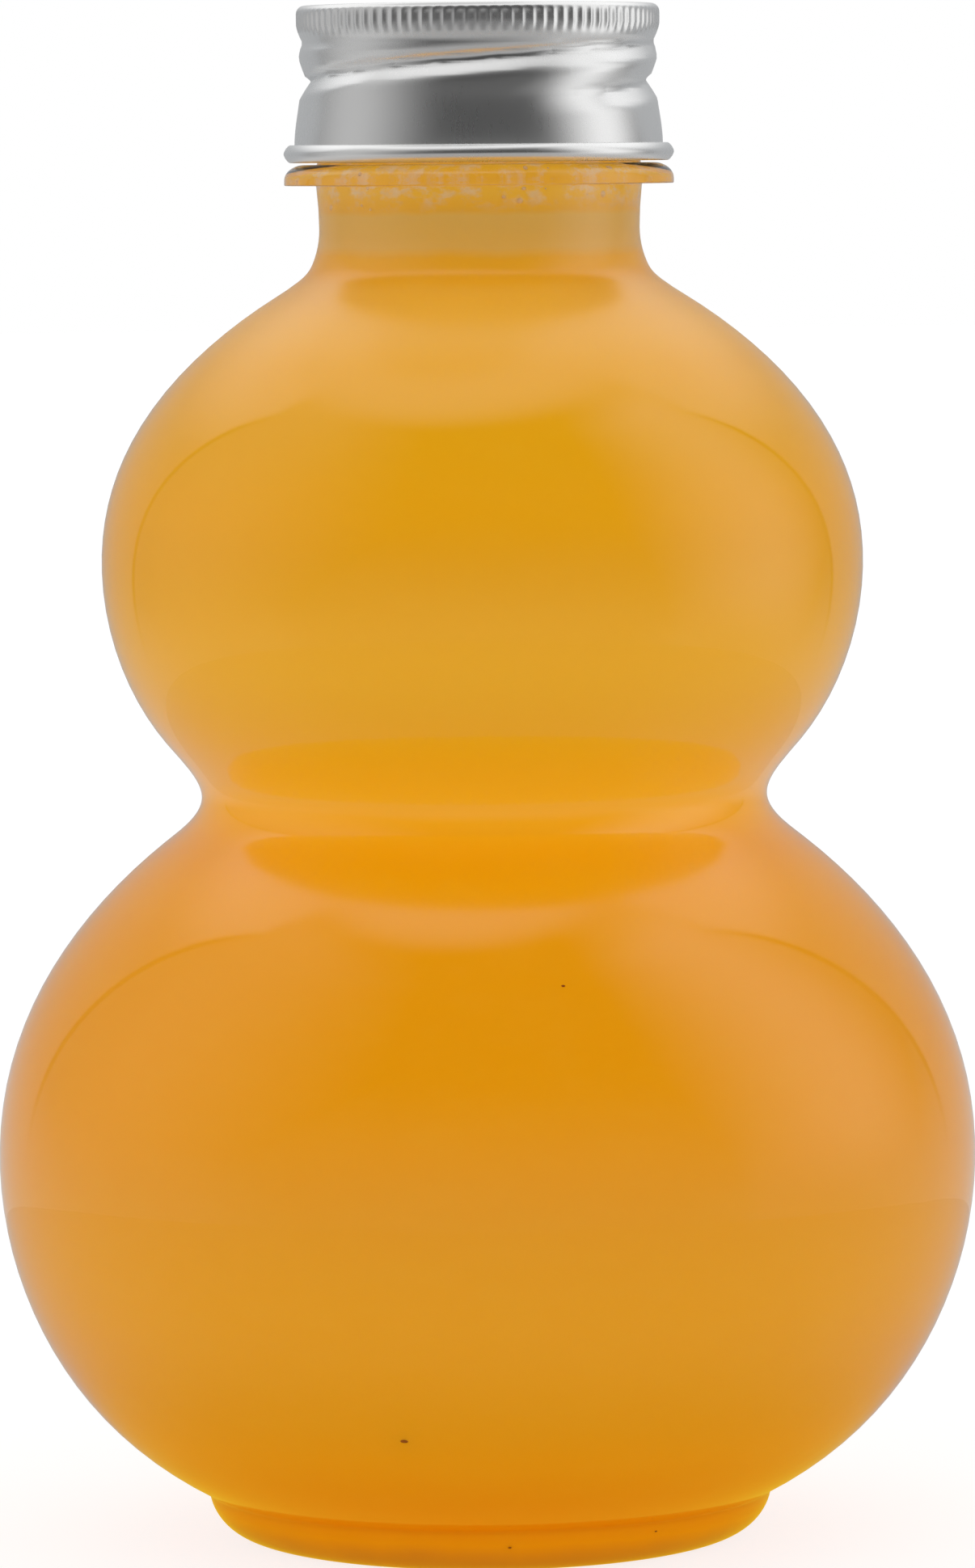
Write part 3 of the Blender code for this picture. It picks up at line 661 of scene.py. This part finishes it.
outline = gathered(softened(capOutline(), cap["cornerReach"], 0.02), cap["rows"], 0.09, 3.0, 12.0,
                   (lambda rows: (rows[:, 1] < levels["capTop"] - 0.8) & (rows[:, 0] > 19.0), 0.28))
capPiece = turnedObject("cap_shell_rolled", outline, cap["knurls"] * cap["pointsPerKnurl"], capPressed)
dress(capPiece, capMaterial(), "cap", "cap_metal", "cap_shell")


# The liner

liner = {"sides": 96, "round": 0.25, "sealDepth": 0.12, "sealFrom": 15.3, "sealTo": 18.0}


def linerOutline():
    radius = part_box("cap_liner")[1].x / mm
    foot, top, edge = levels["linerFoot"], levels["linerTop"], liner["round"]
    radii = np.linspace(0, radius - edge, 120)
    share = (radii - liner["sealFrom"]) / (liner["sealTo"] - liner["sealFrom"])
    dent = liner["sealDepth"] * np.sin(np.pi * np.clip(share, 0, 1)) ** 2
    underside = np.stack([radii, foot + dent], 1)
    side = arc(radius - edge, foot + edge, edge, edge, -90, 0, 12)
    crown = arc(radius - edge, top - edge, edge, edge, 0, 90, 12)
    return np.concatenate([underside, side, crown, line((0, top))])


def linerMaterial():
    material = bpy.data.materials.new("liner_foam")
    nodes = Nodes(material)
    place = nodes.place()
    cells = nodes.noise(place, 2200, 2)
    stain = nodes.noise(place, 120, 2)
    bump = nodes.add("ShaderNodeBump", {}, {"Strength": 0.3, "Distance": 0.0001, "Height": cells})
    nodes.finish({
        "Base Color": nodes.mix(stain, tint(236, 236, 232), tint(246, 246, 243)),
        "Roughness": 0.65 + 0.1 * cells, "Normal": bump,
    })
    return material


linerPiece = turnedObject("foam_liner", gathered(linerOutline(), 60, 0.08, 3.0), liner["sides"])
dress(linerPiece, linerMaterial(), "liner", "liner_foam", "cap_liner")


# Froth in the neck and pulp in the drink

froth = {
    "count": 26, "seed": 7, "low": 144.3, "high": 148.2,
    "smallest": 0.10, "largest": 0.5, "flatness": 0.9, "intoWall": 0.12, "sunk": 0.35,
}
flecks = {
    "seed": 11, "count": 14, "size": 0.32, "smallestShare": 0.4, "flatness": 0.5, "low": 8, "high": 125,
    # Those that the photo shows: across, height and size
    "seen": [(-8.9, 17.0, 0.42), (2.0, 3.2, 0.2), (17.5, 3.9, 0.16), (8.0, 64.5, 0.2)],
}


def frothMaterial():
    material = bpy.data.materials.new("froth")
    nodes = Nodes(material)
    shade = nodes.noise(nodes.place(), 700, 2)
    nodes.finish({
        "Base Color": nodes.mix(shade, tint(246, 214, 160), tint(252, 240, 224)),
        "Roughness": 0.12 + 0.1 * shade,
        "Subsurface Weight": 0.3, "Subsurface Radius": (0.002, 0.0015, 0.001), "Subsurface Scale": 1.0,
    })
    return material


def pulpMaterial():
    material = bpy.data.materials.new("pulp")
    nodes = Nodes(material)
    shade = nodes.noise(nodes.place(), 900, 2)
    nodes.finish({"Base Color": nodes.mix(shade, tint(120, 62, 8), tint(170, 98, 20)), "Roughness": 0.7})
    return material


draw = np.random.default_rng(froth["seed"])
angles = draw.uniform(0, fullTurn, froth["count"])
bubbleSizes = froth["smallest"] + (froth["largest"] - froth["smallest"]) * draw.random(froth["count"]) ** 2.5
bubbleHeights = froth["low"] + (froth["high"] - froth["low"]) * draw.random(froth["count"]) ** 0.6
reach = bottle["boreRadius"] + froth["intoWall"] - bubbleSizes * froth["sunk"]
centres = np.stack([reach * np.cos(angles), reach * np.sin(angles), bubbleHeights], 1)
frothPiece = ballsObject("froth_bubbles", centres, bubbleSizes, np.full(froth["count"], froth["flatness"]))
dress(frothPiece, frothMaterial(), "bottle", "drink")

draw = np.random.default_rng(flecks["seed"])
seenAcross, seenHeights, seenSizes = zip(*flecks["seen"])
across = np.concatenate([seenAcross, np.zeros(flecks["count"])])
fleckHeights = np.concatenate([seenHeights, draw.uniform(flecks["low"], flecks["high"], flecks["count"])])
sizes = draw.uniform(flecks["smallestShare"], 1, flecks["count"]) * flecks["size"]
fleckSizes = np.concatenate([seenSizes, sizes])
reach = bodyRadius(fleckHeights) - bottle["wall"]
angles = -math.pi / 2 + np.arcsin(across / reach)
angles[len(flecks["seen"]):] = draw.uniform(-0.2, math.pi + 0.2, flecks["count"])
centres = np.stack([reach * np.cos(angles), reach * np.sin(angles), fleckHeights], 1)
fleckPiece = ballsObject("pulp_flecks", centres, fleckSizes, np.full(len(fleckSizes), flecks["flatness"]))
dress(fleckPiece, pulpMaterial(), "bottle", "drink")


# Floor, light and camera

studio = {
    "floorRadius": 6000.0, "floorWhite": 0.9, "floorGrain": 0.02, "cameraWhite": 1.12, "shadowShare": 0.3,
    "glowFrom": 26.0, "glowTo": 80.0, "paintedFootGlow": (0.83, 0.55, 0.03), "horizon": 1.24, "zenith": 0.84,
    "floorFront": 0.46, "floorSides": 0.60,
    "cameraDistance": 0.88, "cameraHeight": 0.1511, "aimHeight": 0.0822, "aimSide": 0.00035,
    "lens": 185.57, "sensor": 36.0, "roll": 0.5,
}
tent = {
    "radius": 240.0, "height": 1100.0, "foot": -40.0,
    "riseFrom": 80.0,  # the height from which degrees of rise are taken
    "gap": (127.0, -50.0, -90.0),  # degrees from the front at the floor, and their change by metres of height
    "gapLeast": 96.0, "gapWidth": 1.3, "gapLight": 0.16, "gapFadeFrom": 40.0, "gapFadeTo": 60.0,
    "back": (0.41, 0.42, 0.43), "front": 0.05, "frontFoot": 0.36, "frontFootHeight": 0.2,
    "left": 0.50, "right": 0.98, "leftFrom": 10.0, "rightFrom": 32.0, "panelTo": 84.0,
    "fallFrom": 86.0, "fallTo": 123.0, "leftFall": 0.4, "rightFall": 0.85,
    "panelTop": 55.0, "panelFade": 14.0, "panelLoss": 0.6,
    "top": 0.55, "topFrom": 70.0, "topTo": 88.0,
    "patch": 0.75, "patchLight": 1.25, "patchFrom": 28.0, "patchTo": 48.0,
    "footBlend": 90.0, "footLight": 0.58, "footFrom": 40.0, "footTo": 70.0,
}
ceiling = {
    "height": 246.0, "thickness": 2.0, "radius": 125.0, "aside": -14.0, "fadeFrom": 55.0, "fadeTo": 97.0,
    "light": 0.97, "middleLight": 0.6, "middleFrom": 28.0, "middleTo": 46.0,
}


def stageMaterial(name):
    # A glowing material that is not treated as a lamp
    material = bpy.data.materials.new(name)
    material.cycles.emission_sampling = "NONE"
    return material, Nodes(material)


def floorMaterial():
    # White to the camera with a part of its shadow kept. Other rays see a painted orange glow round the foot,
    # which stands in for light coming down through the drink, and mirror reflections see painted shade on it,
    # much darker, most of all in front.
    material, nodes = stageMaterial("studio_floor")
    place = nodes.place()
    x, y, z = nodes.split(place)
    grain = nodes.noise(place, 40, 2)
    white = studio["floorWhite"]
    camera, shadow, diffuseRay, glossy = nodes.outputs("ShaderNodeLightPath")[:4]
    shade = nodes.mix(grain, grey(white), grey(white + studio["floorGrain"]))
    level = nodes.maths("SQRT", x * x + y * y)
    # Painted shade for mirror reflections: the floor darker, most of all in front
    side = nodes.between(y / level, -0.95, -0.1)
    paintedMirrorShade = nodes.mix(side, grey(studio["floorFront"]), grey(studio["floorSides"]))
    shade = nodes.mix(glossy, shade, nodes.mix(1.0, shade, paintedMirrorShade, "MULTIPLY"))
    diffuse = nodes.add("ShaderNodeBsdfDiffuse", {}, {"Color": shade})
    shine = nodes.add("ShaderNodeEmission", {}, {"Color": grey(1), "Strength": studio["cameraWhite"]})
    # Painted light: an orange glow round the foot stands in for light coming down through the drink
    near = 1 - nodes.between(level, studio["glowFrom"] * mm, studio["glowTo"] * mm)
    paintedFootGlow = nodes.add("ShaderNodeEmission", {}, {"Color": studio["paintedFootGlow"] + (1,), "Strength": 1.0})
    lit = nodes.add("ShaderNodeMixShader", {}, {0: near, 1: diffuse, 2: paintedFootGlow})
    seen = nodes.add("ShaderNodeMixShader", {}, {0: studio["shadowShare"], 1: shine, 2: diffuse})
    surface = nodes.add("ShaderNodeMixShader", {}, {0: camera, 1: lit, 2: seen})
    nodes.add("ShaderNodeOutputMaterial", {}, {"Surface": surface})
    return material


def tentMaterial():
    # What mirror reflections see, by degrees from the front, degrees of rise and height: a dark front that is
    # lighter at its foot, a soft panel at each side that weakens higher up, a thin dark gap, a grey back with
    # a bright patch higher up, a paler foot at the sides and back, and a mid grey top
    material, nodes = stageMaterial("studio_tent")
    x, y, z = nodes.split(nodes.place())
    right = nodes.between(x, -0.02, 0.02)
    level = nodes.maths("SQRT", x * x + y * y)
    turn = nodes.maths("ARCCOSINE", y / level * -1) * (180 / math.pi)
    rise = nodes.maths("ARCTANGENT", (z - tent["riseFrom"] * mm) / level) * (180 / math.pi)
    first, slope, curve = tent["gap"]
    past = turn - nodes.maths("MAXIMUM", first + z * slope + z * z * curve, tent["gapLeast"])
    strength = tent["left"] + right * (tent["right"] - tent["left"])
    start = tent["leftFrom"] + right * (tent["rightFrom"] - tent["leftFrom"])
    panel = nodes.between((turn - start) / (tent["panelTo"] - start), 0.0, 1.0) * strength
    fall = nodes.between(turn, tent["fallFrom"], tent["fallTo"])
    fall = 1 - fall * (tent["leftFall"] + right * (tent["rightFall"] - tent["leftFall"]))
    loss = nodes.between(rise, tent["panelTop"], tent["panelTop"] + tent["panelFade"]) * tent["panelLoss"]
    fall = fall * (1 - loss)
    front = tent["front"] + tent["frontFoot"] * nodes.between(z * -1, -tent["frontFootHeight"], 0.0)
    light = nodes.maths("MAXIMUM", panel * fall, front)
    colour = nodes.add("ShaderNodeCombineColor", {}, {0: light, 1: light, 2: light})
    patch = nodes.between(rise, tent["patchFrom"], tent["patchTo"]) * tent["patch"]
    wall = nodes.mix(patch, tent["back"] + (1,), grey(tent["patchLight"]))
    colour = nodes.mix(nodes.between(past, 0.0, 2 * tent["gapWidth"]), colour, wall)
    offFoot = nodes.between(z, 0.0, tent["footBlend"] * mm)
    dark = 1 - nodes.between(nodes.maths("ABSOLUTE", past), tent["gapWidth"] * 0.4, tent["gapWidth"])
    dark = dark * (1 - nodes.between(rise, tent["gapFadeFrom"], tent["gapFadeTo"])) * offFoot
    colour = nodes.mix(dark, colour, grey(tent["gapLight"]))
    sides = (1 - offFoot) * nodes.between(turn, tent["footFrom"], tent["footTo"])
    colour = nodes.mix(sides, colour, grey(tent["footLight"]))
    colour = nodes.mix(nodes.between(rise, tent["topFrom"], tent["topTo"]), colour, grey(tent["top"]))
    shine = nodes.add("ShaderNodeEmission", {}, {"Color": colour, "Strength": 1.0})
    nodes.add("ShaderNodeOutputMaterial", {}, {"Surface": shine})
    return material


def stagePiece(name, outline, sides, material):
    piece = turnedObject(name, outline, sides)
    piece.data.materials.append(material)
    return piece


def mirrorOnly(piece):
    piece.visible_camera = piece.visible_diffuse = False
    piece.visible_transmission = piece.visible_shadow = False


def makeFloor():
    rings = np.linspace(1, 0, 12)[:-1] ** 2 * studio["floorRadius"]
    top = np.stack([np.append(rings, 0), np.zeros(len(rings) + 1)], 1)
    outline = np.concatenate([line((0, -20), (studio["floorRadius"], -20)), top])
    stagePiece("studio_floor", outline, 64, floorMaterial())


def makeTent():
    # A light tent round the bottle that only mirror reflections see
    radius, height = tent["radius"], tent["height"]
    dome = arc(0, height - radius, radius, radius, 0, 90, 24)
    outline = np.concatenate([line((0, tent["foot"]), (radius, tent["foot"])), dome])
    piece = stagePiece("studio_tent", outline, 96, tentMaterial())
    mirrorOnly(piece)


def makeCeiling():
    # A small soft panel above the cap that only mirror reflections see, dimmer in its middle and fading out
    # towards its edge
    foot, top, radius = ceiling["height"], ceiling["height"] + ceiling["thickness"], ceiling["radius"]
    outline = line((0, foot), (radius / 2, foot), (radius, foot), (radius, top), (radius / 2, top), (0, top))
    material, nodes = stageMaterial("studio_ceiling")
    x, y, z = nodes.split(nodes.place())
    x = x - ceiling["aside"] * mm
    level = nodes.maths("SQRT", x * x + y * y)
    seen = 1 - nodes.between(level, ceiling["fadeFrom"] * mm, ceiling["fadeTo"] * mm)
    outer = nodes.between(level, ceiling["middleFrom"] * mm, ceiling["middleTo"] * mm)
    light = ceiling["middleLight"] + outer * (ceiling["light"] - ceiling["middleLight"])
    clear = nodes.add("ShaderNodeBsdfTransparent")
    shine = nodes.add("ShaderNodeEmission", {}, {"Color": (1, 1, 1, 1), "Strength": light})
    surface = nodes.add("ShaderNodeMixShader", {}, {0: seen, 1: clear, 2: shine})
    nodes.add("ShaderNodeOutputMaterial", {}, {"Surface": surface})
    piece = stagePiece("studio_ceiling", outline, 96, material)
    mirrorOnly(piece)


def makeWorld():
    # White to the camera, and soft white light from all round that is strongest near the horizon
    world = bpy.data.worlds.new("studio")
    bpy.context.scene.world = world
    nodes = Nodes(world)
    x, y, z = nodes.split(nodes.add("ShaderNodeTexCoord", output=0))
    camera = nodes.outputs("ShaderNodeLightPath")[0]
    low = nodes.add("ShaderNodeMath", {"operation": "POWER", "use_clamp": True}, {0: 1 - z, 1: 2.0})
    strength = studio["zenith"] + (studio["horizon"] - studio["zenith"]) * low
    strength = camera + (1 - camera) * strength
    shine = nodes.add("ShaderNodeBackground", {}, {"Color": (1, 1, 1, 1), "Strength": strength})
    nodes.add("ShaderNodeOutputWorld", {}, {"Surface": shine})


def keepPaths():
    # Light turns back many times between the drink and the wall, so its paths are kept long and sharp
    paths = bpy.context.scene.cycles
    paths.blur_glossy = 0.0
    paths.max_bounces, paths.diffuse_bounces, paths.glossy_bounces = 16, 8, 8


def makeCamera():
    data = bpy.data.cameras.new("camera")
    camera = bpy.data.objects.new("camera", data)
    bpy.context.scene.collection.objects.link(camera)
    data.lens, data.sensor_width = studio["lens"], studio["sensor"]
    data.clip_start, data.clip_end = 0.05, 50
    camera.location = (studio["aimSide"], -studio["cameraDistance"], studio["cameraHeight"])
    tilt = math.atan2(studio["cameraHeight"] - studio["aimHeight"], studio["cameraDistance"])
    camera.rotation_mode = "QUATERNION"
    turn = Quaternion((1, 0, 0), math.pi / 2 - tilt)
    camera.rotation_quaternion = turn @ Quaternion((0, 0, 1), -math.radians(studio["roll"]))
    bpy.context.scene.camera = camera


makeFloor()
makeTent()
makeCeiling()
makeWorld()
makeCamera()
keepPaths()
bpy.context.scene.view_settings.view_transform = "Standard"
print("floor, world and camera made")
